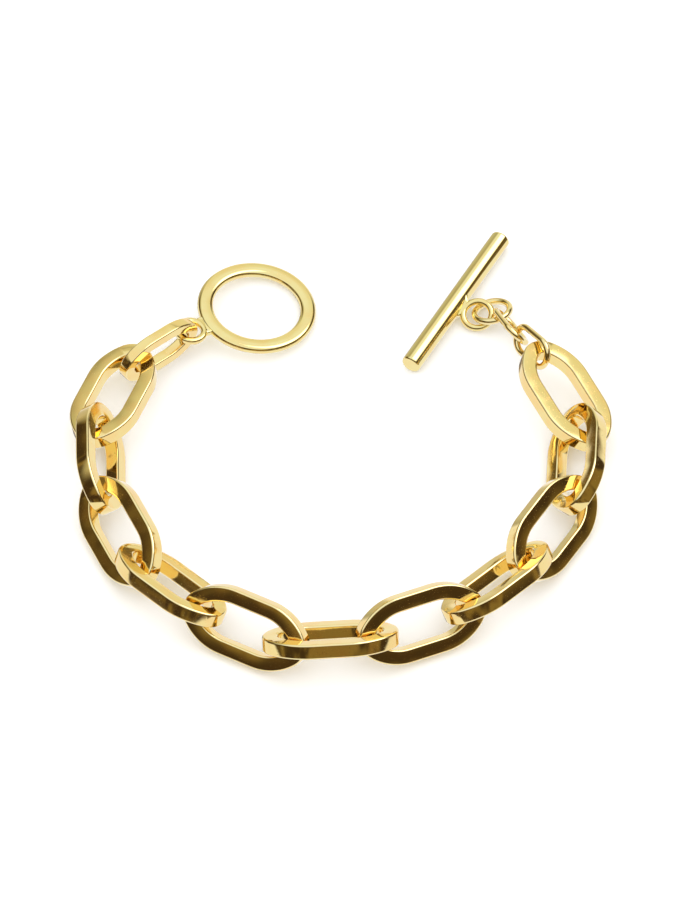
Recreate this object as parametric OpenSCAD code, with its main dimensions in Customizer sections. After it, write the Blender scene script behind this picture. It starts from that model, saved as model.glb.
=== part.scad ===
// Link bracelet of heavy square wire, with a ring and bar clasp.
// It lies open in a loop on a flat surface: X to the right, Y away, Z up, in millimetres.
// The centre of the loop's floor area is the origin, and the lowest links rest at z = 0.

/* [Main links] */
// Outside length of a main link
link_length = 18; // [17:0.1:20]
// Outside width of a main link
link_width = 9.2; // [8.8:0.05:9.8]
// Width and thickness of the square wire of a main link
link_wire = 2.05; // [1.7:0.01:2.15]
// Outside radius of the round ends of a main link
link_end_radius = 3.1; // [2.6:0.05:3.8]
// Length of the straight stretch in the middle of each side of a main link
link_flat = 4.9; // [3:0.1:6]
// Bevel along the four edges of the square wire
link_bevel = 0.2; // [0.05:0.01:0.4]

/* [Connecting link] */
// Outside length of the connecting link
connector_length = 12.9; // [12.5:0.1:14]
// Outside width of the connecting link
connector_width = 6.55; // [6.3:0.05:7]
// Width and thickness of its square wire
connector_wire = 1.55; // [1.2:0.01:1.65]
// Outside radius of its round ends
connector_end_radius = 2.6; // [2:0.05:3]
// Length of the straight stretch in the middle of each of its sides
connector_flat = 3.2; // [2:0.1:5]
// Bevel along the four edges of its wire
connector_bevel = 0.16; // [0.05:0.01:0.3]

/* [Clasp ring] */
// Outside diameter of the ring
ring_d = 16; // [15:0.1:17]
// Hole of the ring
ring_hole_d = 11.8; // [10.5:0.1:12.5]
// Thickness of the ring
ring_thick = 1.25; // [1.1:0.05:1.6]
// Rounding of the ring's edges
ring_edge = 0.35; // [0.1:0.05:0.5]
// Outside diameter of the ring's eye
eye_d = 4.5; // [4.3:0.05:5]
// Hole of the ring's eye
eye_hole_d = 2.7; // [2.6:0.05:3.1]
// Thickness of the ring's eye
eye_thick = 0.9; // [0.8:0.05:1.1]
// How deep the eye is soldered into the rim of the ring
eye_sink = 0.1; // [0.05:0.05:0.8]
// Width of the solder between the ring and its eye
eye_web = 3; // [2:0.1:3.6]

/* [Clasp bar] */
// Length of the bar
bar_length = 25.2; // [22:0.1:28]
// Diameter of the bar
bar_d = 2.65; // [2.2:0.05:2.8]
// Rounding of the bar's ends
bar_end_round = 0.5; // [0.2:0.05:1]
// Outside diameter of the bar's eye, a ring of round wire
bar_eye_d = 4.75; // [4.4:0.05:5.2]
// Wire of the bar's eye
bar_eye_wire = 0.9; // [0.7:0.02:1]
// How far the bar's eye sits from the middle of the bar
bar_eye_slide = 0.51; // [0:0.01:1]
// How deep the bar's eye is soldered into the side of the bar
bar_eye_sink = 0.1; // [0.05:0.05:0.3]
// How much the plane of the bar's eye climbs along the bar, in degrees
bar_eye_climb = 18; // [5:1:25]
// Length along the bar of the solder that holds the eye
solder_length = 4.6; // [3.5:0.1:5.5]

/* [Small links] */
// Outside length of a small link
small_length = 8.1; // [7.8:0.05:8.6]
// Outside width of a small link
small_width = 4.6; // [4.4:0.05:5]
// Wire of a small link
small_wire = 0.9; // [0.7:0.01:0.95]
// Outside diameter of the last small link, a round one, which holds the bar's eye
round_link_d = 5.7; // [5.5:0.05:6.2]

/* [Hidden] */
$fn = 96;

// Steps of a link's outline along each round end and each side arc
END_STEPS = 8;
SIDE_STEPS = 4;

// Rounding of the edges of the ring's eye, as a share of its thickness
EYE_EDGE = 0.4;
// Thickness of the bar's solder, as a share of the eye's wire, and how far it starts
// inside the bar, as a share of the bar's radius
SOLDER_THICK = 0.85;
SOLDER_SINK = 0.5;

gold = [0.86, 0.68, 0.32];

// Inside lengths: the most that the centres of two such linked pieces can be apart
reach = link_length - 2 * link_wire;
connector_reach = connector_length - 2 * connector_wire;
small_reach = small_length - 2 * small_wire;
round_reach = round_link_d - 2 * small_wire;

// How each piece lies. Columns: place to the right and away, as shares of a reach,
// lowest point above the floor as a share of its own wire,
// heading of its long axis, climb of that axis, and roll about it, in degrees.
ROW_RIGHT = 0;
ROW_AWAY = 1;
ROW_LIFT = 2;
ROW_HEADING = 3;
ROW_CLIMB = 4;
ROW_ROLL = 5;

// The main links, link_02 to link_12: centres from the middle of the loop, in shares of reach
main_rows = [
    [-2.180,  0.615, 0.85,   68,  -2, -11],
    [-2.295, -0.195, 0.00,   91,  -4,  57],
    [-2.105, -1.055, 0.00,  115,   2, -43],
    [-1.620, -1.715, 0.50,  136,  -2,  29],
    [-0.905, -2.230, 0.00,  152,   0, -53],
    [-0.105, -2.400, 0.65,  183,  -1,  32],
    [ 0.745, -2.195, 0.00,  203,   2, -54],
    [ 1.475, -1.705, 0.40,  224,   2,  33],
    [ 2.005, -1.035, 0.00,  238,   0, -44],
    [ 2.250, -0.200, 0.00,  267,   3,  44],
    [ 2.155,  0.555, 0.80,  298,  -7, -14]
];

// The end pieces: each centre from the piece before it, in shares of the two pieces' half reaches
connector_row = [ 0.505,  0.680, 0.00,   42,  -6,  91];
ring_row =      [ 0.870,  0.570, 0.00,  209,   7,   0];
small_rows = [
    [-0.430,  0.790, 2.50,  -56,  15,  66],
    [-0.440,  0.795, 0.40,  -68,  20, 125],
    [-0.475,  0.755, 0.20,    2,  11, -18]
];
bar_row =       [-0.995, -0.180, 0.00, 60.5,   0,   2];

// Place of a piece that hangs on another: a share of their half reaches from the other's place
function step_from(place, half_reaches, row) =
    place + half_reaches * [row[ROW_RIGHT], row[ROW_AWAY]];

main_places = [for (row = main_rows) step_from([0, 0], reach, row)];
connector_place = step_from(main_places[0], (reach + connector_reach) / 2, connector_row);
eye_offset = ring_d / 2 + eye_d / 2 - eye_sink;
ring_place = step_from(connector_place, connector_reach / 2 + eye_offset, ring_row);
small_3_place = step_from(main_places[10], (reach + small_reach) / 2, small_rows[0]);
small_2_place = step_from(small_3_place, small_reach, small_rows[1]);
small_1_place = step_from(small_2_place, (small_reach + round_reach) / 2, small_rows[2]);
bar_eye_place = step_from(small_1_place, round_reach / 2, bar_row);

// Radius of the long side arcs, which meet the flats and the round ends without a corner
function side_radius(len, wid, end_r, flat) =
    let (run = len / 2 - end_r - flat / 2, half = wid / 2)
    (run * run + half * half - end_r * end_r) / (2 * (half - end_r));

// Direction, from the long axis, in which the round end meets the side arc
function end_turn(len, wid, end_r, flat) =
    atan2(side_radius(len, wid, end_r, flat) - wid / 2, len / 2 - end_r - flat / 2);

// Reach of the outline from its centre in one direction of its plane
function outline_reach(len, wid, end_r, flat, dir) =
    let (side_r = side_radius(len, wid, end_r, flat))
    dir < end_turn(len, wid, end_r, flat)
        ? (len / 2 - end_r) * cos(dir) + end_r
        : flat / 2 * cos(dir) + (wid / 2 - side_r) * sin(dir) + side_r;

// Depth of a link's lowest point below its centre, for square wire with a bevel
function square_depth(len, wid, end_r, flat, wire, bevel, climb, roll) =
    let (along = abs(sin(climb)),
         across = abs(cos(climb) * sin(roll)),
         up = abs(cos(climb) * cos(roll)),
         edge = sqrt(along * along + across * across))
    edge * outline_reach(len, wid, end_r, flat, atan2(across, along))
        + up * wire / 2 - bevel * min(edge, up);

// The same for a long ring of round wire: the half ring's middle, and the wire's radius below it
function round_depth(len, wid, wire, climb, roll) =
    let (along = abs(sin(climb)),
         across = abs(cos(climb) * sin(roll)))
    (len - wid) / 2 * along + (wid - wire) / 2 * sqrt(along * along + across * across) + wire / 2;

// Puts a piece that is modelled flat round the origin in its place, turned as its row says
module lay(place, up, row) {
    translate([place.x, place.y, up])
        rotate([0, 0, row[ROW_HEADING]])
            rotate([0, -row[ROW_CLIMB], 0])
                rotate([row[ROW_ROLL], 0, 0])
                    children();
}

// Section of square wire: its outer face at x = 0, the wire towards -x
function square_section(wire, bevel) =
    let (half = wire / 2)
    [[0, -half + bevel], [0, half - bevel],
     [-bevel, half], [bevel - wire, half],
     [-wire, half - bevel], [-wire, -half + bevel],
     [bevel - wire, -half], [-bevel, -half]];

// Half of a link's outline, from the start of one round end to the start of the other.
// Columns: x, y, and the outward direction there, in degrees.
function half_outline(len, wid, end_r, flat) =
    let (side_r = side_radius(len, wid, end_r, flat),
         turn = end_turn(len, wid, end_r, flat),
         side_step = (90 - turn) / SIDE_STEPS)
    concat(
        [for (i = [0 : END_STEPS]) let (dir = turn * (2 * i / END_STEPS - 1))
            [len / 2 - end_r + end_r * cos(dir), end_r * sin(dir), dir]],
        [for (i = [1 : SIDE_STEPS]) let (dir = turn + i * side_step)
            [flat / 2 + side_r * cos(dir), wid / 2 - side_r + side_r * sin(dir), dir]],
        [for (i = [0 : SIDE_STEPS - 1]) let (dir = 90 + i * side_step)
            [-flat / 2 + side_r * cos(dir), wid / 2 - side_r + side_r * sin(dir), dir]]
    );

// Carries a section round a long oval of flats, side arcs and round ends, as one closed ring
module around_oval(len, wid, end_r, flat, section) {
    half = half_outline(len, wid, end_r, flat);
    stations = concat(half, [for (s = half) [-s.x, -s.y, s.z + 180]]);
    n = len(stations);
    m = len(section);
    polyhedron(
        points = [for (s = stations, p = section)
            [s.x + p.x * cos(s.z), s.y + p.x * sin(s.z), p.y]],
        faces = [for (i = [0 : n - 1], j = [0 : m - 1])
            let (next_i = (i + 1) % n, next_j = (j + 1) % m)
            [i * m + j, i * m + next_j, next_i * m + next_j, next_i * m + j]]
    );
}

module main_link(index) {
    row = main_rows[index];
    depth = square_depth(link_length, link_width, link_end_radius, link_flat,
                         link_wire, link_bevel, row[ROW_CLIMB], row[ROW_ROLL]);
    color(gold)
        lay(main_places[index], depth + row[ROW_LIFT] * link_wire, row)
            around_oval(link_length, link_width, link_end_radius, link_flat,
                        square_section(link_wire, link_bevel));
}

// A long ring of round wire: two straight sides and two half rings
module round_wire_ring(len, wid, wire) {
    flat = len - wid;
    middle_r = (wid - wire) / 2;
    for (half_turn = [0, 180]) rotate([0, 0, half_turn]) {
        translate([flat / 2, 0, 0])
            rotate([0, 0, -90])
                rotate_extrude(angle = 180)
                    translate([middle_r, 0]) circle(d = wire, $fn = 32);
        translate([-flat / 2, middle_r, 0])
            rotate([0, 90, 0]) cylinder(h = flat, d = wire, $fn = 32);
    }
}

// A round ring of round wire
module wire_circle(outer_d, wire) {
    rotate_extrude() translate([(outer_d - wire) / 2, 0]) circle(d = wire, $fn = 32);
}

module small_link(place, row) {
    depth = round_depth(small_length, small_width, small_wire, row[ROW_CLIMB], row[ROW_ROLL]);
    color(gold)
        lay(place, depth + row[ROW_LIFT] * small_wire, row)
            round_wire_ring(small_length, small_width, small_wire);
}

module round_link(place, row) {
    depth = round_depth(round_link_d, round_link_d, small_wire, row[ROW_CLIMB], row[ROW_ROLL]);
    color(gold)
        lay(place, depth + row[ROW_LIFT] * small_wire, row)
            wire_circle(round_link_d, small_wire);
}

module link_01() {
    depth = square_depth(connector_length, connector_width, connector_end_radius, connector_flat,
                         connector_wire, connector_bevel,
                         connector_row[ROW_CLIMB], connector_row[ROW_ROLL]);
    color(gold)
        lay(connector_place, depth + connector_row[ROW_LIFT] * connector_wire, connector_row)
            around_oval(connector_length, connector_width, connector_end_radius, connector_flat,
                        square_section(connector_wire, connector_bevel));
}

// A flat ring with softened edges: outside and hole diameters, thickness and edge rounding
module soft_ring(outer_d, hole_d, thick, edge) {
    width = (outer_d - hole_d) / 2;
    rotate_extrude() translate([hole_d / 2 + width / 2, 0]) {
        square([width - 2 * edge, thick], center = true);
        square([width, thick - 2 * edge], center = true);
        for (x = [-1, 1], y = [-1, 1])
            translate([x * (width / 2 - edge), y * (thick / 2 - edge)]) circle(r = edge, $fn = 24);
    }
}

// The ring leans up towards its eye, which lies on the connecting link and is soldered
// to the rim by a web of solder
module toggle_ring() {
    climb = ring_row[ROW_CLIMB];
    rim_middle = (ring_d + ring_hole_d) / 4;
    color(gold)
        lay(ring_place, ring_d / 2 * sin(climb) + ring_thick / 2 * cos(climb), ring_row) {
            soft_ring(ring_d, ring_hole_d, ring_thick, ring_edge);
            translate([eye_offset, 0, 0]) soft_ring(eye_d, eye_hole_d, eye_thick, eye_thick * EYE_EDGE);
            difference() {
                translate([rim_middle, -eye_web / 2, -eye_thick / 2])
                    cube([eye_offset - rim_middle, eye_web, eye_thick]);
                translate([eye_offset, 0, -eye_thick])
                    cylinder(h = 2 * eye_thick, d = (eye_d + eye_hole_d) / 2);
            }
        }
}

// The bar lies on the floor along its heading, and its eye sits at the right side of that
module toggle_bar() {
    eye_away = bar_d / 2 - bar_eye_sink + bar_eye_d / 2;
    across = eye_away * cos(bar_row[ROW_ROLL]);
    heading = bar_row[ROW_HEADING];
    along_bar = [cos(heading), sin(heading)];
    across_bar = [-sin(heading), cos(heading)];
    color(gold)
        lay(bar_eye_place + bar_eye_slide * along_bar + across * across_bar, bar_d / 2, bar_row) {
            rotate([0, 90, 0]) soft_rod(bar_length, bar_d, bar_end_round);
            translate([-bar_eye_slide, -eye_away, 0])
                rotate([0, -bar_eye_climb, 0]) {
                    wire_circle(bar_eye_d, bar_eye_wire);
                    solder_wedge(eye_away);
                }
        }
}

// A round rod along Z with rounded ends
module soft_rod(len, d, edge) {
    rotate_extrude() {
        translate([0, -len / 2 + edge]) square([d / 2, len - 2 * edge]);
        translate([0, -len / 2]) square([d / 2 - edge, len]);
        for (y = [-1, 1]) translate([d / 2 - edge, y * (len / 2 - edge)]) quarter_disc(edge, y);
    }
}

module quarter_disc(r, side) {
    intersection() {
        circle(r = r, $fn = 32);
        translate([0, side < 0 ? -r : 0]) square([r, r]);
    }
}

// The solder that fills the corner between the bar, eye_away off, and the wire of its eye:
// long in the side of the bar, short at the eye
module solder_wedge(eye_away) {
    thick = bar_eye_wire * SOLDER_THICK;
    foot = eye_away - bar_d / 2 * SOLDER_SINK;
    tip = (bar_eye_d - bar_eye_wire) / 2;
    translate([0, 0, -thick / 2])
        linear_extrude(height = thick)
            polygon([[-solder_length / 2, foot], [solder_length / 2, foot],
                     [bar_eye_wire, tip], [-bar_eye_wire, tip]]);
}

module link_02() main_link(0);
module link_03() main_link(1);
module link_04() main_link(2);
module link_05() main_link(3);
module link_06() main_link(4);
module link_07() main_link(5);
module link_08() main_link(6);
module link_09() main_link(7);
module link_10() main_link(8);
module link_11() main_link(9);
module link_12() main_link(10);
module small_link_1() round_link(small_1_place, small_rows[2]);
module small_link_2() small_link(small_2_place, small_rows[1]);
module small_link_3() small_link(small_3_place, small_rows[0]);

toggle_ring();
link_01();
link_02();
link_03();
link_04();
link_05();
link_06();
link_07();
link_08();
link_09();
link_10();
link_11();
link_12();
small_link_3();
small_link_2();
small_link_1();
toggle_bar();
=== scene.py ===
# %% [markdown]
# # A link bracelet of heavy square wire
#
# The real bracelet is a chain of eleven large oval links, bent from square brass wire and gold
# plated, with a smaller link at one end, three fine round-wire links at the other, and a ring and
# bar clasp. It lies open in a loop on a pale table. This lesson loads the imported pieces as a
# fixed frame, models each kind of piece once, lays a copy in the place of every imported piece,
# and finishes them all in polished gold.

# %% Load the frame
import math

import bpy
import numpy as np
from mathutils import Matrix, Vector


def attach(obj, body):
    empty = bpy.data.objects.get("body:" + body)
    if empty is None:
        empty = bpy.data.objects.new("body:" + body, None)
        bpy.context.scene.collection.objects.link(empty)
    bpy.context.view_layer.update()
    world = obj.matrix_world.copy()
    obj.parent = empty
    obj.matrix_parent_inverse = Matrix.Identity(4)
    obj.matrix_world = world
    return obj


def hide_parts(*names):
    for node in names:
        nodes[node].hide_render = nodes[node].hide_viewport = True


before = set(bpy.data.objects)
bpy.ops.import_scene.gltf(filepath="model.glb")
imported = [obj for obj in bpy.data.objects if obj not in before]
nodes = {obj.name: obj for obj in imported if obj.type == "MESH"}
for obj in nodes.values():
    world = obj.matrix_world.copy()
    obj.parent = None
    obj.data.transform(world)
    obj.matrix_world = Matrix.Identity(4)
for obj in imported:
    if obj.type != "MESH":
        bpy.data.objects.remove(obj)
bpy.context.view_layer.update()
MM = 0.001
scene = bpy.context.scene
print("packed pieces:", len(nodes))

# %% [markdown]
# ## The camera
#
# The photograph was taken from in front and well above, from so far away that the near and the
# far links look equally large. A long lens far off gives the same view. The camera looks at a
# point on the table, and a small roll levels it as in the picture.

# %% Camera
VIEW_ELEVATION = math.radians(51.56)
VIEW_DISTANCE = 1.72
VIEW_ROLL = math.radians(-0.27)
PICTURE_WIDE = 678
PIXELS_PER_MM = 7.5
LOOK_AT = Vector((-0.25 * MM, 1.73 * MM, 0.0))
SENSOR_WIDE = 36.0
SEES_AS_FAR_AS = 20.0


def add_camera():
    towards = Vector((0.0, -math.cos(VIEW_ELEVATION), math.sin(VIEW_ELEVATION)))
    bpy.ops.object.camera_add(location=LOOK_AT + VIEW_DISTANCE * towards)
    camera = bpy.context.object
    camera.name = "view_from_above"
    tilt = Matrix.Rotation(math.pi / 2 - VIEW_ELEVATION, 4, "X")
    turn = tilt @ Matrix.Rotation(VIEW_ROLL, 4, "Z")
    camera.rotation_euler = turn.to_euler()
    camera.data.sensor_fit = "HORIZONTAL"
    camera.data.sensor_width = SENSOR_WIDE
    seen_width = PICTURE_WIDE / PIXELS_PER_MM * MM
    camera.data.lens = SENSOR_WIDE * VIEW_DISTANCE / seen_width
    camera.data.clip_end = SEES_AS_FAR_AS
    scene.camera = camera
    return camera


camera = add_camera()
print("lens in mm:", round(camera.data.lens))

# %% [markdown]
# ## The table
#
# The bracelet lies on a plain white table, so bright that its shadows nearly vanish. It takes no
# shine of its own, because a glossy table would show the bracelet a second time. What the gold
# mirrors of the table is painted with the room below, so the table itself is hidden from
# mirrored rays.

# %% Table
TABLE_SIZE = 6.0
TABLE_PALE = (0.94, 0.94, 0.94, 1.0)
TABLE_ROUGHNESS = 0.7


def pale_table():
    bpy.ops.object.select_all(action="DESELECT")
    bpy.ops.mesh.primitive_plane_add(size=TABLE_SIZE)
    table = bpy.context.object
    table.name = "pale_table"
    table.visible_glossy = False
    material = bpy.data.materials.new("pale_table")
    material.use_nodes = True
    shader = material.node_tree.nodes["Principled BSDF"]
    shader.inputs["Base Color"].default_value = TABLE_PALE
    shader.inputs["Roughness"].default_value = TABLE_ROUGHNESS
    shader.inputs["Specular IOR Level"].default_value = 0.0
    table.data.materials.append(material)


pale_table()
print("table size in m:", TABLE_SIZE)

# %% [markdown]
# ## Helpers for nodes
#
# The light and the gold are both made of shader nodes. Each of these helpers adds one node, joins
# it to others and hands back what it puts out, so that the lines that follow read like sums.

# %% Nodes in a row
# Places of the two colours and of the result among the sockets of a Mix node
MIX_UNDER = 6
MIX_OVER = 7
MIX_RESULT = 2


def new_node(tree, kind, place, **values):
    node = tree.nodes.new(kind)
    node.location = place
    for name, value in values.items():
        setattr(node, name, value)
    return node


def feed(tree, socket, value):
    """Join a socket to another socket, or set it to a number, a direction or a colour."""
    if isinstance(value, bpy.types.NodeSocket):
        tree.links.new(value, socket)
    elif isinstance(value, tuple) and socket.type == "RGBA":
        socket.default_value = (*value[:3], 1.0)
    else:
        socket.default_value = value


def soft_step(tree, place, value, low, high, least=0.0, most=1.0):
    node = new_node(tree, "ShaderNodeMapRange", place, interpolation_type="SMOOTHSTEP")
    feed(tree, node.inputs["Value"], value)
    feed(tree, node.inputs["From Min"], low)
    feed(tree, node.inputs["From Max"], high)
    feed(tree, node.inputs["To Min"], least)
    feed(tree, node.inputs["To Max"], most)
    return node.outputs["Result"]


def mix_colour(tree, place, mask, under, over):
    node = new_node(tree, "ShaderNodeMix", place, data_type="RGBA")
    feed(tree, node.inputs["Factor"], mask)
    feed(tree, node.inputs[MIX_UNDER], under)
    feed(tree, node.inputs[MIX_OVER], over)
    return node.outputs[MIX_RESULT]


def sums(tree, place, operation, *values):
    node = new_node(tree, "ShaderNodeMath", place, operation=operation)
    for socket, value in zip(node.inputs, values):
        feed(tree, socket, value)
    return node.outputs[0]


def dot_product(tree, place, first, second):
    node = new_node(tree, "ShaderNodeVectorMath", place, operation="DOT_PRODUCT")
    feed(tree, node.inputs[0], first)
    feed(tree, node.inputs[1], second)
    return node.outputs["Value"]


def noise(tree, place, where, scale, detail):
    node = new_node(tree, "ShaderNodeTexNoise", place)
    feed(tree, node.inputs["Vector"], where)
    feed(tree, node.inputs["Scale"], scale)
    feed(tree, node.inputs["Detail"], detail)
    return node.outputs["Fac"]


print("node helpers ready")

# %% [markdown]
# ## The room
#
# Polished gold has hardly a pattern of its own: what we see on it is the room. The pale faces of
# the links mirror the white table and a large white panel overhead, the bar mirrors a brighter
# lamp to its right and a grey wall behind, and the brown faces mirror the unlit room in front
# and to the sides, where a few dim shapes stand. So the room is made as a world whose brightness
# depends on the direction, with soft edges between its parts. Its lower half holds the mirror
# image of the table, which ends a little lower in front, and a grey board that stands on it
# behind, on the left. The table takes its light from an even white sky instead: rays that leave
# a matt surface are told apart by the Light Path node.

# %% Colours and edges of the room
ROOM_DARK = (0.058, 0.038, 0.020)
ROOM_DIM = (0.24, 0.175, 0.065)
WALL_GREY = (0.54, 0.54, 0.42)
WALL_PALE = (0.88, 0.88, 0.76)
PANEL_WHITE = (0.95, 1.02, 1.10)
LAMP_WHITE = (3.0, 3.0, 3.1)
TABLE_WHITE = (0.98, 1.00, 1.10)
SKY_WHITE = (1.48, 1.48, 1.48)
SEEN_WHITE = (0.98, 0.98, 0.98)

# Directions of the lamp and of the board: right, away and up
LAMP_PLACE = (0.480, 0.224, 0.848)
BOARD_PLACE = (-0.438, 0.899, 0.0)

# Each part of the room fades in between two shares of the way right, away or up
SHAPES_SCALE = 3.2
SHAPES_DETAIL = 1.5
SHAPES_FADE = (0.44, 0.66)
WALL_FADE = (-0.38, -0.08)
BEHIND_FADE = (0.70, 0.88)
HIGH_FADE = (0.42, 0.60)
NOT_FRONT_FADE = (-0.35, 0.15)
PANEL_FADE = (0.62, 0.72)
LAMP_FADE = (0.900, 0.945)

# The table ends at the horizon, and in front lower by a drop. The board hides all but a share.
TABLE_FADE = (-0.06, 0.0)
DROP_FADE = (-0.10, 0.25)
TABLE_DROP = 0.14
BOARD_FADE = (0.972, 0.992)
PAST_BOARD = 0.15
print("the lamp is brighter than the panel by:", round(LAMP_WHITE[0] / PANEL_WHITE[0], 1))


# %% Room
def unlit_room(tree, where):
    shapes = noise(tree, (-1400, 700), where, SHAPES_SCALE, SHAPES_DETAIL)
    dim = soft_step(tree, (-1100, 700), shapes, *SHAPES_FADE)
    return mix_colour(tree, (-900, 700), dim, ROOM_DARK, ROOM_DIM)


def add_wall(tree, unlit, right, away, up):
    """A wall behind and high up, grey on the left and pale on the right."""
    turned = soft_step(tree, (-1100, 500), right, *WALL_FADE)
    wall = mix_colour(tree, (-900, 500), turned, WALL_GREY, WALL_PALE)
    behind = soft_step(tree, (-1100, 300), away, *BEHIND_FADE)
    high = soft_step(tree, (-1100, 100), up, *HIGH_FADE)
    not_front = soft_step(tree, (-1100, -100), away, *NOT_FRONT_FADE)
    above = sums(tree, (-900, 0), "MULTIPLY", high, not_front)
    lit = sums(tree, (-700, 200), "MAXIMUM", behind, above)
    return mix_colour(tree, (-500, 300), lit, unlit, wall)


def table_mask(tree, where, away, up):
    """Where the mirrored table shows: below the horizon, but hardly past the board."""
    drop = soft_step(tree, (-1100, -500), away, *DROP_FADE, TABLE_DROP, 0.0)
    level = sums(tree, (-900, -450), "ADD", up, drop)
    below = soft_step(tree, (-700, -400), level, *TABLE_FADE, 1.0, 0.0)
    up_squared = sums(tree, (-1400, -700), "MULTIPLY", up, up)
    flat_squared = sums(tree, (-1250, -700), "SUBTRACT", 1.0, up_squared)
    flat = sums(tree, (-1100, -700), "SQRT", flat_squared)
    board = dot_product(tree, (-1100, -900), where, BOARD_PLACE)
    beside = sums(tree, (-900, -800), "DIVIDE", board, flat)
    bare = soft_step(tree, (-700, -700), beside, *BOARD_FADE, 1.0, PAST_BOARD)
    return sums(tree, (-100, -300), "MULTIPLY", below, bare)


def room_light():
    world = bpy.data.worlds.new("studio_room")
    scene.world = world
    world.use_nodes = True
    # Otherwise the world is also sampled as a lamp, by rays that Light Path can't tell apart
    world.cycles.sampling_method = "NONE"
    tree = world.node_tree
    tree.nodes.clear()
    where = new_node(tree, "ShaderNodeTexCoord", (-1600, 0)).outputs["Generated"]
    parts = new_node(tree, "ShaderNodeSeparateXYZ", (-1400, 0))
    feed(tree, parts.inputs[0], where)
    right, away, up = parts.outputs

    colour = add_wall(tree, unlit_room(tree, where), right, away, up)
    panel = soft_step(tree, (-700, 0), up, *PANEL_FADE)
    colour = mix_colour(tree, (-300, 200), panel, colour, PANEL_WHITE)
    towards = dot_product(tree, (-1100, -300), where, LAMP_PLACE)
    lamp = soft_step(tree, (-700, -200), towards, *LAMP_FADE)
    colour = mix_colour(tree, (-100, 100), lamp, colour, LAMP_WHITE)
    mirrored = table_mask(tree, where, away, up)
    colour = mix_colour(tree, (100, 0), mirrored, colour, TABLE_WHITE)

    rays = new_node(tree, "ShaderNodeLightPath", (100, 400))
    colour = mix_colour(tree, (300, 200), rays.outputs["Is Diffuse Ray"], colour, SKY_WHITE)
    colour = mix_colour(tree, (500, 200), rays.outputs["Is Camera Ray"], colour, SEEN_WHITE)
    light = new_node(tree, "ShaderNodeBackground", (700, 0))
    feed(tree, light.inputs["Color"], colour)
    out = new_node(tree, "ShaderNodeOutputWorld", (900, 0))
    feed(tree, out.inputs["Surface"], light.outputs[0])


room_light()
scene.view_settings.view_transform = "Standard"
print("room made:", scene.world.name)

# %% [markdown]
# ## Marks of the polishing wheel
#
# A link is polished on a soft wheel. The wheel leaves very shallow waves, fine lines that run
# along the wire, and a few tiny pits. The group also gives a mask of the wire's edges, where the
# gold is made paler as a painted highlight. All gold pieces share these marks, so they are one
# node group. It reads the place along and across the wire from an attribute of each mesh, and
# gives out a height, a roughness and two masks. The wheel also takes a little more from the rims
# of a flat face than from its middle, which leaves the face very slightly crowned, like a pillow.

# %% Group of polishing marks
# How often each pattern repeats in a metre. The lines are long along the wire.
WAVE_SCALE = 210.0
CLOUD_SCALE = 420.0
PIT_SCALE = 3600.0
LINE_SCALE = (160.0, 4200.0, 4200.0)

# A dot is a pit if its chance is above the first number, and a pit fades out to its rim
PIT_CHANCE = 0.62
PIT_FADE = (0.04, 0.24)
CLOUD_FADE = (0.35, 0.68)
# Where the painted highlight along the wire's edges fades in
EDGE_HIGHLIGHT_FADE = (0.72, 0.95)
ROUGHEST_AT = 0.6


def pit_mask(tree, place):
    dots = new_node(tree, "ShaderNodeTexVoronoi", (-1000, 50))
    feed(tree, dots.inputs["Vector"], place)
    feed(tree, dots.inputs["Scale"], PIT_SCALE)
    chance = new_node(tree, "ShaderNodeSeparateColor", (-800, 0))
    feed(tree, chance.inputs[0], dots.outputs["Color"])
    few = sums(tree, (-600, 0), "GREATER_THAN", chance.outputs[0], PIT_CHANCE)
    hole = soft_step(tree, (-800, 200), dots.outputs["Distance"], *PIT_FADE, 1.0, 0.0)
    return sums(tree, (-400, 100), "MULTIPLY", hole, few)


def edge_highlight_mask(tree, section):
    """Mask of the painted edge highlight: far from the wire's middle both across and through."""
    sides = new_node(tree, "ShaderNodeSeparateXYZ", (-1200, -600))
    feed(tree, sides.inputs[0], section)
    across = sums(tree, (-1000, -600), "ABSOLUTE", sides.outputs["X"])
    through = sums(tree, (-1000, -750), "ABSOLUTE", sides.outputs["Y"])
    near = sums(tree, (-800, -650), "MINIMUM", across, through)
    return soft_step(tree, (-600, -650), near, *EDGE_HIGHLIGHT_FADE)


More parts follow.
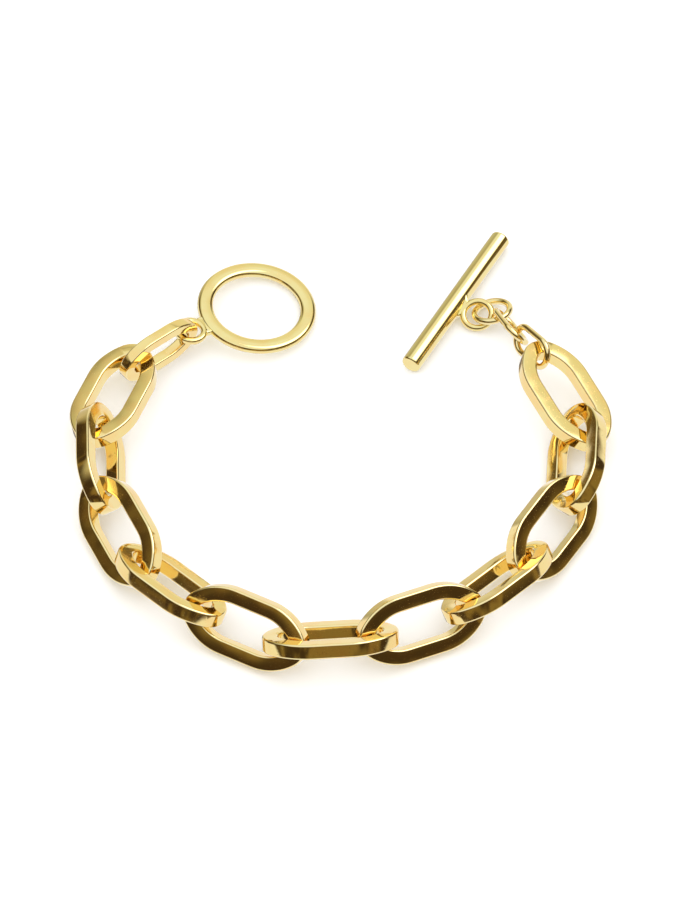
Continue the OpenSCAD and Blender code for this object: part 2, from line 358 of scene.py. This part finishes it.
def polish_group():
    tree = bpy.data.node_groups.new("polish_marks", "ShaderNodeTree")
    for name, value in (
        ("Wave Height", 0.00006),
        ("Line Height", 0.0000012),
        ("Pit Depth", 0.000008),
        ("Pillow", 0.00002),
        ("Least Roughness", 0.08),
        ("Most Roughness", 0.2),
    ):
        socket = tree.interface.new_socket(name, in_out="INPUT", socket_type="NodeSocketFloat")
        socket.default_value = value
    for name in ("Height", "Roughness", "Tone", "Edge"):
        tree.interface.new_socket(name, in_out="OUTPUT", socket_type="NodeSocketFloat")
    given = new_node(tree, "NodeGroupInput", (-1400, 0)).outputs
    place = new_node(tree, "ShaderNodeTexCoord", (-1400, 400)).outputs["Object"]
    along = new_node(tree, "ShaderNodeAttribute", (-1400, -300), attribute_name="along_wire")
    across = new_node(tree, "ShaderNodeAttribute", (-1400, -600), attribute_name="section")
    section = across.outputs["Vector"]

    waves = noise(tree, (-1000, 400), place, WAVE_SCALE, 1.0)
    stretch = new_node(tree, "ShaderNodeVectorMath", (-1200, -300), operation="MULTIPLY")
    feed(tree, stretch.inputs[0], along.outputs["Vector"])
    feed(tree, stretch.inputs[1], LINE_SCALE)
    lines = noise(tree, (-1000, -300), stretch.outputs[0], 1.0, 2.0)

    low = sums(tree, (-600, 500), "MULTIPLY", waves, given["Wave Height"])
    fine = sums(tree, (-600, -300), "MULTIPLY", lines, given["Line Height"])
    deep = sums(tree, (-200, 100), "MULTIPLY", pit_mask(tree, place), given["Pit Depth"])
    raised = sums(tree, (-200, 400), "ADD", low, fine)
    height = sums(tree, (0, 300), "SUBTRACT", raised, deep)
    from_middle = dot_product(tree, (-1000, -900), section, section)
    fall = sums(tree, (-200, -800), "MULTIPLY", from_middle, given["Pillow"])
    height = sums(tree, (150, 100), "SUBTRACT", height, fall)

    cloud = noise(tree, (-1000, 700), place, CLOUD_SCALE, 3.0)
    tone = soft_step(tree, (-600, 700), cloud, *CLOUD_FADE)
    rough = new_node(tree, "ShaderNodeMapRange", (-200, -300))
    feed(tree, rough.inputs["Value"], sums(tree, (-400, -300), "MULTIPLY", tone, lines))
    feed(tree, rough.inputs["From Max"], ROUGHEST_AT)
    feed(tree, rough.inputs["To Min"], given["Least Roughness"])
    feed(tree, rough.inputs["To Max"], given["Most Roughness"])

    out = new_node(tree, "NodeGroupOutput", (300, 0))
    feed(tree, out.inputs["Height"], height)
    feed(tree, out.inputs["Roughness"], rough.outputs[0])
    feed(tree, out.inputs["Tone"], tone)
    # The Edge output is where a highlight is painted along the wire's edges
    feed(tree, out.inputs["Edge"], edge_highlight_mask(tree, section))
    return tree


polish_marks = polish_group()
sockets = polish_marks.interface.items_tree
print("group inputs:", [item.name for item in sockets if item.in_out == "INPUT"])

# %% [markdown]
# ## Gold
#
# Gold plate is a metal with a yellow mirror. Two golds a little apart, one more lemon and one
# more red, are mixed by the clouds of the polishing. Along the edges the gold is painted paler, a
# painted highlight. A Bump node turns the height of the marks into bent reflections.

# %% Gold finish
# Share of the pale gold in the painted highlight along the edges
EDGE_HIGHLIGHT_SHARE = 0.5


def gold_finish(name, lemon, red, pale, **marks):
    material = bpy.data.materials.new(name)
    material.use_nodes = True
    tree = material.node_tree
    shader = tree.nodes["Principled BSDF"]
    shader.inputs["Metallic"].default_value = 1.0
    group = new_node(tree, "ShaderNodeGroup", (-900, 0), node_tree=polish_marks)
    for key, value in marks.items():
        group.inputs[key.replace("_", " ").title()].default_value = value
    colour = mix_colour(tree, (-600, 200), group.outputs["Tone"], lemon, red)
    # Painted highlight: the colour turns towards the pale gold along the wire's edges
    painted_highlight = sums(tree, (-600, 50), "MULTIPLY", group.outputs["Edge"], EDGE_HIGHLIGHT_SHARE)
    colour = mix_colour(tree, (-400, 200), painted_highlight, colour, pale)
    feed(tree, shader.inputs["Base Color"], colour)
    feed(tree, shader.inputs["Roughness"], group.outputs["Roughness"])
    bump = new_node(tree, "ShaderNodeBump", (-400, -200))
    bump.inputs["Distance"].default_value = 1.0
    feed(tree, bump.inputs["Height"], group.outputs["Height"])
    feed(tree, shader.inputs["Normal"], bump.outputs["Normal"])
    return material


link_gold = gold_finish(
    "polished_links", (0.93, 0.73, 0.29), (0.95, 0.68, 0.26), (0.98, 0.86, 0.54),
    wave_height=0.00011, line_height=0.0000012, pit_depth=0.000005, pillow=0.000018,
    least_roughness=0.05, most_roughness=0.14,
)
clasp_gold = gold_finish(
    "polished_clasp", (0.93, 0.77, 0.33), (0.94, 0.72, 0.29), (0.98, 0.88, 0.58),
    wave_height=0.00003, line_height=0.0000005, pit_depth=0.000004, pillow=0.00006,
    least_roughness=0.04, most_roughness=0.11,
)
wire_gold = gold_finish(
    "polished_wire", (0.94, 0.77, 0.37), (0.94, 0.71, 0.30), (0.98, 0.86, 0.54),
    wave_height=0.00002, line_height=0.0000005, pit_depth=0.000003, pillow=0.0,
    least_roughness=0.04, most_roughness=0.10,
)
print("finishes:", [m.name for m in (link_gold, clasp_gold, wire_gold)])

# %% [markdown]
# ## Tools for modelling
#
# Blender's operators act on whatever is selected, so every step starts by selecting only what it
# should change. These helpers pick one object, go in and out of edit mode, and apply a place or
# a modifier to the mesh.

# %% Selecting and editing
def only(piece):
    bpy.ops.object.select_all(action="DESELECT")
    piece.select_set(True)
    bpy.context.view_layer.objects.active = piece


def edit(piece, action="SELECT"):
    only(piece)
    bpy.ops.object.mode_set(mode="EDIT")
    bpy.ops.mesh.select_all(action=action)


def leave_edit():
    bpy.ops.object.mode_set(mode="OBJECT")


def apply_place(piece):
    only(piece)
    bpy.ops.object.transform_apply(location=True, rotation=True, scale=True)


def modify(piece, kind, **values):
    only(piece)
    modifier = piece.modifiers.new(kind.lower(), kind)
    for name, value in values.items():
        setattr(modifier, name, value)
    bpy.ops.object.modifier_apply(modifier=modifier.name)


print("tools ready")

# %% [markdown]
# ## Bending wire
#
# The links were bent from straight wire on a form and soldered shut. The model is made the same
# way: the wire's cut end is a flat section, which is pulled straight along the sides and spun
# round the bends until it meets its own start. The points of the two ends are then merged.

# %% Wire's end
EDGE_STEPS = 4
ROUND_POINTS = 24


def square_end(name, width, thick, edge, place):
    """The cut end of square wire: width across the link, thickness along Z, rounded corners."""
    bpy.ops.object.select_all(action="DESELECT")
    bpy.ops.mesh.primitive_plane_add(size=1.0, rotation=(0.0, math.pi / 2, 0.0))
    piece = bpy.context.object
    piece.name = name
    apply_place(piece)
    edit(piece)
    bpy.ops.transform.resize(value=(1.0, width, thick))
    bpy.ops.transform.translate(value=place)
    bpy.ops.mesh.bevel(offset=edge, segments=EDGE_STEPS, affect="VERTICES")
    bpy.ops.mesh.delete(type="ONLY_FACE")
    bpy.ops.mesh.select_all(action="SELECT")
    return piece


def round_end(name, wire, place):
    bpy.ops.object.select_all(action="DESELECT")
    bpy.ops.mesh.primitive_circle_add(
        vertices=ROUND_POINTS, radius=wire / 2, rotation=(0.0, math.pi / 2, 0.0)
    )
    piece = bpy.context.object
    piece.name = name
    apply_place(piece)
    edit(piece)
    bpy.ops.transform.translate(value=place)
    return piece


print("wire ends ready")

# %% [markdown]
# ## The outline of a link
#
# A link has a short straight stretch in the middle of each side, long shallow arcs from there to
# the ends, and round ends, and all of them meet without a corner. The wire's end is pulled and
# spun round one half of that outline, and then the same steps take it round the other half.

# %% Pull and bend
STEP_ANGLE = math.radians(4.0)
LEAST_STEPS = 4
LINK_MERGE = 0.01 * MM
NO_RUN = 1e-9


def pull(x):
    bpy.ops.mesh.extrude_region_move(TRANSFORM_OT_translate={"value": (x, 0.0, 0.0)})


def bend(angle, x, y):
    """Spin the wire's end clockwise, seen from above, round a point of the link's plane."""
    steps = max(LEAST_STEPS, round(angle / STEP_ANGLE))
    bpy.ops.mesh.spin(steps=steps, angle=angle, center=(x, y, 0.0), axis=(0.0, 0.0, 1.0))


def close_wire(piece, merge):
    bpy.ops.mesh.select_all(action="SELECT")
    bpy.ops.mesh.remove_doubles(threshold=merge)
    bpy.ops.mesh.normals_make_consistent(inside=False)
    leave_edit()


def side_arc(length, width, end_r, flat):
    """Radius of the long side arcs, and the direction in which they meet the round ends."""
    run = length / 2 - end_r - flat / 2
    half = width / 2
    if run < NO_RUN:
        return half, math.pi / 2
    radius = (run * run + half * half - end_r * end_r) / (2 * (half - end_r))
    return radius, math.atan2(radius - half, run)


def bend_link(piece, length, width, end_r, flat):
    radius, turn = side_arc(length, width, end_r, flat)
    for way in (1, -1):
        if flat > 0.0:
            pull(way * flat)
        if turn < math.pi / 2:
            bend(math.pi / 2 - turn, way * flat / 2, way * (width / 2 - radius))
        bend(2 * turn, way * (length / 2 - end_r), 0.0)
        if turn < math.pi / 2:
            bend(math.pi / 2 - turn, way * flat / 2, -way * (width / 2 - radius))
    close_wire(piece, LINK_MERGE)


print("bending ready")

# %% [markdown]
# ## Where a point lies on the wire
#
# The polishing lines follow the wire round its bends. Each point of a mesh therefore keeps, as an
# attribute, how far along the wire it lies and how far across its section. A link is the same in
# its four quarters, so the measure is taken in one quarter and folded over to the others, which
# leaves no seam.

# %% Attributes along the wire
def write_attribute(piece, name, values):
    attribute = piece.data.attributes.new(name, "FLOAT_VECTOR", "POINT")
    attribute.data.foreach_set("vector", np.asarray(values, dtype=np.float32).ravel())


def points_of(piece):
    points = np.empty(len(piece.data.vertices) * 3, dtype=np.float32)
    piece.data.vertices.foreach_get("co", points)
    return points.reshape(-1, 3).astype(np.float64)


def mark_link(piece, length, width, wire, end_r, flat, square):
    radius, turn = side_arc(length, width, end_r, flat)
    points = points_of(piece)
    x, y, z = np.abs(points[:, 0]), np.abs(points[:, 1]), points[:, 2]
    side_x, side_y = x - flat / 2, y - (width / 2 - radius)
    side_angle = np.arctan2(side_x, side_y)
    end_x = x - (length / 2 - end_r)
    end_angle = np.arctan2(y, end_x)
    on_flat = side_x <= 0
    on_end = end_angle < turn
    across = np.hypot(side_x, side_y) - radius
    along = flat / 2 + radius * side_angle
    across = np.where(on_flat, y - width / 2, across)
    along = np.where(on_flat, x, along)
    last = flat / 2 + radius * (math.pi / 2 - turn) + end_r * (turn - end_angle)
    across = np.where(on_end, np.hypot(end_x, y) - end_r, across) + wire / 2
    along = np.where(on_end, last, along)
    write_attribute(piece, "along_wire", np.stack([along, across, z], axis=1))
    share = 2.0 / wire if square else 0.0
    section = [across * share, z * share, np.zeros_like(z)]
    write_attribute(piece, "section", np.stack(section, axis=1))


print("measures ready")

# %% [markdown]
# ## Laying a piece in its place
#
# Every link is the same upside down and back to front, so the place of a packed link is fully
# given by its middle, its long direction and the direction of its face. All three come from how
# its surface is spread: the spread is largest along the link and smallest through its face. The
# copy is turned to match, and its place is then applied, so that the object itself stays at the
# origin and unturned.

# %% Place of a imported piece
def spread_of(node):
    """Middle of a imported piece's surface and its three main directions, the longest first."""
    mesh = node.data
    points = points_of(node)
    mesh.calc_loop_triangles()
    corners = np.empty(len(mesh.loop_triangles) * 3, dtype=np.int32)
    mesh.loop_triangles.foreach_get("vertices", corners)
    a, b, c = (points[corners.reshape(-1, 3)[:, i]] for i in range(3))
    area = np.linalg.norm(np.cross(b - a, c - a), axis=1) / 2
    centres = (a + b + c) / 3
    middle = (area[:, None] * centres).sum(axis=0) / area.sum()
    total = np.zeros((3, 3))
    # A triangle spreads as its three corners and nine points at its centre would
    for corner, weight in ((a, 1), (b, 1), (c, 1), (centres, 9)):
        offset = corner - middle
        total += weight * (area[:, None] * offset).T @ offset
    _, directions = np.linalg.eigh(total)
    return middle, directions[:, ::-1]


def place_matrix(middle, long_way, face_way):
    long_way = Vector(long_way).normalized()
    face_way = Vector(face_way).normalized()
    if face_way.z < 0:
        face_way = -face_way
    cross = face_way.cross(long_way).normalized()
    face_way = long_way.cross(cross)
    turn = Matrix((long_way, cross, face_way)).transposed().to_4x4()
    return Matrix.Translation(Vector(middle)) @ turn


print("places ready")

# %% Copies and their shading
SHARP_ANGLE = 35.0
FLAT_WEIGHT = 80


def lay_copy(model, name, node_name, matrix, material):
    piece = model.copy()
    piece.data = model.data.copy()
    piece.name = name
    piece.data.name = name
    scene.collection.objects.link(piece)
    piece.matrix_world = matrix
    apply_place(piece)
    piece.data.materials.clear()
    piece.data.materials.append(material)
    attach(piece, "root")
    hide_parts(node_name)


def lay_link(model, name, node_name, material):
    middle, directions = spread_of(nodes[node_name])
    matrix = place_matrix(middle, directions[:, 0], directions[:, 2])
    lay_copy(model, name, node_name, matrix, material)


def finish_model(piece, angle=SHARP_ANGLE):
    """Smooth shading that keeps the flat faces flat up to their rounded edges."""
    only(piece)
    bpy.ops.object.shade_smooth_by_angle(angle=math.radians(angle))
    modify(piece, "WEIGHTED_NORMAL", weight=FLAT_WEIGHT, keep_sharp=True)


print("laying ready")

# %% [markdown]
# ## The main links
#
# Eleven equal links carry the bracelet. Each is 18 mm long and 9.2 mm wide, of 2 mm square wire
# with softly rounded edges, and its sides are straight only in their middle. One link is bent
# flat at the origin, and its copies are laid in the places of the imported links.

# %% Main links
LINK_LENGTH = 18.0 * MM
LINK_WIDTH = 9.2 * MM
LINK_WIRE = 2.05 * MM
LINK_END = 3.1 * MM
LINK_FLAT = 4.9 * MM
LINK_EDGE = 0.27 * MM

start = (-LINK_FLAT / 2, (LINK_WIDTH - LINK_WIRE) / 2, 0.0)
main_link = square_end("main_link", LINK_WIRE, LINK_WIRE, LINK_EDGE, start)
bend_link(main_link, LINK_LENGTH, LINK_WIDTH, LINK_END, LINK_FLAT)
mark_link(main_link, LINK_LENGTH, LINK_WIDTH, LINK_WIRE, LINK_END, LINK_FLAT, square=True)
finish_model(main_link)
print("main link size in mm:", [round(v / MM, 2) for v in main_link.dimensions])

# %% Copies of the main link
MAIN_LINKS = ["link_%02d" % number for number in range(2, 13)]
for node_name in MAIN_LINKS:
    lay_link(main_link, "bent_" + node_name, node_name, link_gold)
bpy.data.objects.remove(main_link)
print("main links laid:", len(MAIN_LINKS))

# %% [markdown]
# ## The connecting link
#
# A smaller link of the same kind joins the chain to the ring of the clasp. It stands nearly on
# its edge. It is bent by the same steps, from thinner wire.

# %% Connecting link
CONNECTOR_LENGTH = 12.9 * MM
CONNECTOR_WIDTH = 6.55 * MM
CONNECTOR_WIRE = 1.55 * MM
CONNECTOR_END = 2.6 * MM
CONNECTOR_FLAT = 3.2 * MM
CONNECTOR_EDGE = 0.22 * MM

start = (-CONNECTOR_FLAT / 2, (CONNECTOR_WIDTH - CONNECTOR_WIRE) / 2, 0.0)
connector = square_end("connector", CONNECTOR_WIRE, CONNECTOR_WIRE, CONNECTOR_EDGE, start)
bend_link(connector, CONNECTOR_LENGTH, CONNECTOR_WIDTH, CONNECTOR_END, CONNECTOR_FLAT)
mark_link(
    connector, CONNECTOR_LENGTH, CONNECTOR_WIDTH, CONNECTOR_WIRE, CONNECTOR_END, CONNECTOR_FLAT,
    square=True,
)
finish_model(connector)
print("connecting link size in mm:", [round(v / MM, 2) for v in connector.dimensions])
lay_link(connector, "bent_link_01", "link_01", link_gold)
bpy.data.objects.remove(connector)

# %% [markdown]
# ## The small links
#
# Three links of thin round wire let the bar turn to pass through the ring. Two of them have
# straight sides and half rings for ends, so the round section is pulled and spun in turn. The
# one that holds the bar has no straight sides: it is spun round twice by half a turn.

# %% Small links
SMALL_LENGTH = 8.1 * MM
SMALL_WIDTH = 4.6 * MM
SMALL_WIRE = 0.9 * MM
ROUND_WIDE = 5.7 * MM
SMALL_LINKS = (
    (1, ROUND_WIDE, ROUND_WIDE),
    (2, SMALL_LENGTH, SMALL_WIDTH),
    (3, SMALL_LENGTH, SMALL_WIDTH),
)


def wire_link(name, length, width):
    flat = length - width
    start = (-flat / 2, (width - SMALL_WIRE) / 2, 0.0)
    link = round_end(name, SMALL_WIRE, start)
    bend_link(link, length, width, width / 2, flat)
    mark_link(link, length, width, SMALL_WIRE, width / 2, flat, square=False)
    finish_model(link, angle=60.0)
    return link


for number, length, width in SMALL_LINKS:
    small_link = wire_link("small_wire", length, width)
    lay_link(small_link, "wire_link_%d" % number, "small_link_%d" % number, wire_gold)
    bpy.data.objects.remove(small_link)
print("small links laid:", len(SMALL_LINKS))

# %% [markdown]
# ## Uniting soldered parts
#
# The ring and the bar each have an eye, held by a fillet of solder. Each part is made by itself,
# and a Boolean modifier then unites them, so that the inside walls go. These two pieces are not
# the same on both sides, so their places come from the direction in which they point and from
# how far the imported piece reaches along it.

# %% Tools for the clasp
CLASP_MERGE = 0.002 * MM
SOLDER_STEPS = 3


def turn_of(heading, climb, roll):
    """Turn of a piece that points along heading, rises by climb and is rolled about itself."""
    return (
        Matrix.Rotation(math.radians(heading), 4, "Z")
        @ Matrix.Rotation(-math.radians(climb), 4, "Y")
        @ Matrix.Rotation(math.radians(roll), 4, "X")
    )


def extent_of(node, turn):
    """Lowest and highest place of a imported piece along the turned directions."""
    points = points_of(node) @ np.array(turn.to_3x3())
    return points.min(axis=0), points.max(axis=0)


def unite(piece, *others):
    for other in others:
        modify(piece, "BOOLEAN", operation="UNION", solver="EXACT", object=other)
        bpy.data.objects.remove(other)
    edit(piece)
    close_wire(piece, CLASP_MERGE)


def close_ring(ring):
    """Spin a section round the middle by two half turns, back to its own start."""
    for _ in range(2):
        bend(math.pi, 0.0, 0.0)
    close_wire(ring, CLASP_MERGE)
    return ring


def flat_ring(name, outer, hole, thick, edge):
    place = (0.0, (outer + hole) / 4, 0.0)
    return close_ring(square_end(name, (outer - hole) / 2, thick, edge, place))


def wire_ring(name, outer, wire):
    return close_ring(round_end(name, wire, (0.0, (outer - wire) / 2, 0.0)))


def move_piece(piece, matrix):
    piece.matrix_world = matrix
    apply_place(piece)


print("clasp tools ready")

# %% [markdown]
# ## Marks on the clasp
#
# The clasp is made of rings and a rod, and a rod is a ring of no radius. Every point takes its
# place along and across the wire from the ring that it lies nearest to. Wire without edges has
# a half thickness of nothing, and keeps an empty section, so no highlight is painted on its
# edges.

# %% Marks round the rings
def mark_round(piece, rings):
    """Each ring is its middle, its axes, its radius, and the section's half width and half
    thickness."""
    points = points_of(piece)
    nearest = np.full(len(points), math.inf)
    along = np.zeros((len(points), 3))
    section = np.zeros((len(points), 3))
    for middle, axes, radius, half_wide, half_thick in rings:
        local = (points - np.array(middle)) @ axes
        away = np.hypot(local[:, 0], local[:, 1]) - radius
        angle = np.abs(np.arctan2(local[:, 1], local[:, 0]))
        gap = np.maximum(np.abs(away) - half_wide, np.abs(local[:, 2]) - half_thick)
        here = gap < nearest
        nearest = np.where(here, gap, nearest)
        along[here] = np.stack([angle * radius, away, local[:, 2]], axis=1)[here]
        if half_thick > 0.0:
            share = [away / half_wide, local[:, 2] / half_thick, np.zeros_like(away)]
            section[here] = np.stack(share, axis=1)[here]
    write_attribute(piece, "along_wire", along)
    write_attribute(piece, "section", section)


print("clasp measures ready")

# %% [markdown]
# ## The ring
#
# The ring is flat, 16 mm wide, with well rounded edges. Its eye is a small ring of the same kind.
# The solder between them is a low block with bevelled edges, whose ends vanish in the ring and
# in the eye, so that only the web between the two shows.

# %% Ring
RING_WIDE = 16.0 * MM
RING_HOLE = 11.8 * MM
RING_THICK = 1.25 * MM
RING_EDGE = 0.55 * MM
EYE_WIDE = 4.5 * MM
EYE_HOLE = 2.7 * MM
EYE_THICK = 0.9 * MM
EYE_EDGE = 0.32 * MM
EYE_AWAY = 10.15 * MM
WEB_WIDE = 3.0 * MM
WEB_THICK = 0.84 * MM
WEB_START = 7.2 * MM
WEB_END = 8.5 * MM
WEB_EDGE = 0.2 * MM
RING_HEADING = 209.0
RING_CLIMB = 7.0


def solder_web():
    bpy.ops.object.select_all(action="DESELECT")
    bpy.ops.mesh.primitive_plane_add(size=1.0, rotation=(0.0, math.pi / 2, 0.0))
    web = bpy.context.object
    web.name = "web"
    apply_place(web)
    edit(web)
    bpy.ops.transform.resize(value=(1.0, WEB_WIDE, WEB_THICK))
    bpy.ops.transform.translate(value=(WEB_START, 0.0, 0.0))
    pull(WEB_END - WEB_START)
    bpy.ops.mesh.select_all(action="SELECT")
    bpy.ops.mesh.normals_make_consistent(inside=False)
    bpy.ops.mesh.bevel(offset=WEB_EDGE, segments=SOLDER_STEPS, affect="EDGES")
    leave_edit()
    return web


def level_ring(x, outer, hole, thick):
    """What mark_round reads of a flat ring that lies level at some place along X."""
    return (x, 0.0, 0.0), np.identity(3), (outer + hole) / 4, (outer - hole) / 4, thick / 2


ring = flat_ring("ring", RING_WIDE, RING_HOLE, RING_THICK, RING_EDGE)
eye = flat_ring("ring_eye", EYE_WIDE, EYE_HOLE, EYE_THICK, EYE_EDGE)
move_piece(eye, Matrix.Translation((EYE_AWAY, 0.0, 0.0)))
unite(ring, solder_web(), eye)
mark_round(ring, (
    level_ring(0.0, RING_WIDE, RING_HOLE, RING_THICK),
    level_ring(EYE_AWAY, EYE_WIDE, EYE_HOLE, EYE_THICK),
))
finish_model(ring)
print("points of the ring:", len(ring.data.vertices))

# %% Ring in its place
turn = turn_of(RING_HEADING, RING_CLIMB, 0.0)
low, high = extent_of(nodes["toggle_ring"], turn)
middle = Vector((low[0] + RING_WIDE / 2, (low[1] + high[1]) / 2, (low[2] + high[2]) / 2))
matrix = Matrix.Translation(turn @ middle) @ turn
lay_copy(ring, "turned_ring", "toggle_ring", matrix, clasp_gold)
bpy.data.objects.remove(ring)
print("ring laid, middle in mm:", [round(v / MM, 2) for v in matrix.translation])

# %% [markdown]
# ## The bar
#
# The bar is a turned rod with softened ends. Its eye is a ring of round wire that touches the
# side of the rod, and solder fills the corners between the two: a plate that is long at the rod
# and short at the eye.

# %% Bar
BAR_LONG = 25.2 * MM
BAR_WIDE = 2.65 * MM
BAR_EDGE = 0.32 * MM
BAR_POINTS = 72
BAR_EDGE_STEPS = 5
BAR_CORNER = math.radians(60.0)
BAR_EYE_WIDE = 4.75 * MM
BAR_EYE_WIRE = 0.9 * MM
BAR_EYE_BACK = 0.51 * MM
BAR_EYE_AWAY = 3.6 * MM
BAR_EYE_CLIMB = 18.0
BAR_HEADING = 60.5
BAR_ROLL = 2.0

# The plate of solder, measured from the middle of the eye. Its tip is a share of its length.
SOLDER_LONG = 4.8 * MM
SOLDER_TIP_SHARE = 0.42
SOLDER_THICK = 0.8 * MM
SOLDER_FOOT = 2.9 * MM
SOLDER_TIP = 1.9 * MM
SOLDER_EDGE = 0.16 * MM


def pick(piece, test):
    """Go into edit mode with those points selected whose place passes a test."""
    edit(piece, "DESELECT")
    leave_edit()
    for point in piece.data.vertices:
        point.select = test(point.co)
    bpy.ops.object.mode_set(mode="EDIT")


def turned_rod():
    bpy.ops.object.select_all(action="DESELECT")
    bpy.ops.mesh.primitive_cylinder_add(
        vertices=BAR_POINTS, radius=BAR_WIDE / 2, depth=BAR_LONG, rotation=(0.0, math.pi / 2, 0.0)
    )
    rod = bpy.context.object
    rod.name = "rod"
    apply_place(rod)
    modify(
        rod, "BEVEL", width=BAR_EDGE, segments=BAR_EDGE_STEPS,
        limit_method="ANGLE", angle_limit=BAR_CORNER,
    )
    return rod


def solder_plate():
    bpy.ops.object.select_all(action="DESELECT")
    bpy.ops.mesh.primitive_plane_add(size=1.0)
    plate = bpy.context.object
    plate.name = "solder"
    half_way = (SOLDER_FOOT + SOLDER_TIP) / 2
    edit(plate)
    bpy.ops.transform.resize(value=(SOLDER_LONG, SOLDER_FOOT - SOLDER_TIP, 1.0))
    bpy.ops.transform.translate(value=(0.0, half_way, -SOLDER_THICK / 2))
    leave_edit()
    pick(plate, lambda co: co.y < half_way)
    bpy.ops.transform.resize(value=(SOLDER_TIP_SHARE, 1.0, 1.0))
    bpy.ops.mesh.select_all(action="SELECT")
    bpy.ops.mesh.extrude_region_move(TRANSFORM_OT_translate={"value": (0.0, 0.0, SOLDER_THICK)})
    bpy.ops.mesh.select_all(action="SELECT")
    bpy.ops.mesh.normals_make_consistent(inside=False)
    bpy.ops.mesh.bevel(offset=SOLDER_EDGE, segments=SOLDER_STEPS, affect="EDGES")
    leave_edit()
    return plate


eye_turn = Matrix.Rotation(-math.radians(BAR_EYE_CLIMB), 4, "Y")
eye_place = Matrix.Translation((-BAR_EYE_BACK, -BAR_EYE_AWAY, 0.0)) @ eye_turn
bar = turned_rod()
bar_eye = wire_ring("bar_eye", BAR_EYE_WIDE, BAR_EYE_WIRE)
plate = solder_plate()
move_piece(bar_eye, eye_place)
move_piece(plate, eye_place)
unite(bar, plate, bar_eye)
print("points of the bar:", len(bar.data.vertices))

# %% Bar in its place
along_rod = np.array(((0.0, 0.0, 1.0), (1.0, 0.0, 0.0), (0.0, 1.0, 0.0)))
eye_axes = np.array(eye_turn.to_3x3())
eye_radius = (BAR_EYE_WIDE - BAR_EYE_WIRE) / 2
mark_round(bar, (
    (tuple(eye_place.translation), eye_axes, eye_radius, BAR_EYE_WIRE / 2, 0.0),
    ((0.0, 0.0, 0.0), along_rod, 0.0, BAR_WIDE / 2, 0.0),
))
finish_model(bar, angle=40.0)
turn = turn_of(BAR_HEADING, 0.0, BAR_ROLL)
low, high = extent_of(nodes["toggle_bar"], turn)
middle = Vector(((low[0] + high[0]) / 2, high[1] - BAR_WIDE / 2, 0.0))
place = turn @ middle
place.z = BAR_WIDE / 2
matrix = Matrix.Translation(place) @ turn
lay_copy(bar, "turned_bar", "toggle_bar", matrix, clasp_gold)
bpy.data.objects.remove(bar)
print("bar laid, middle in mm:", [round(v / MM, 2) for v in matrix.translation])
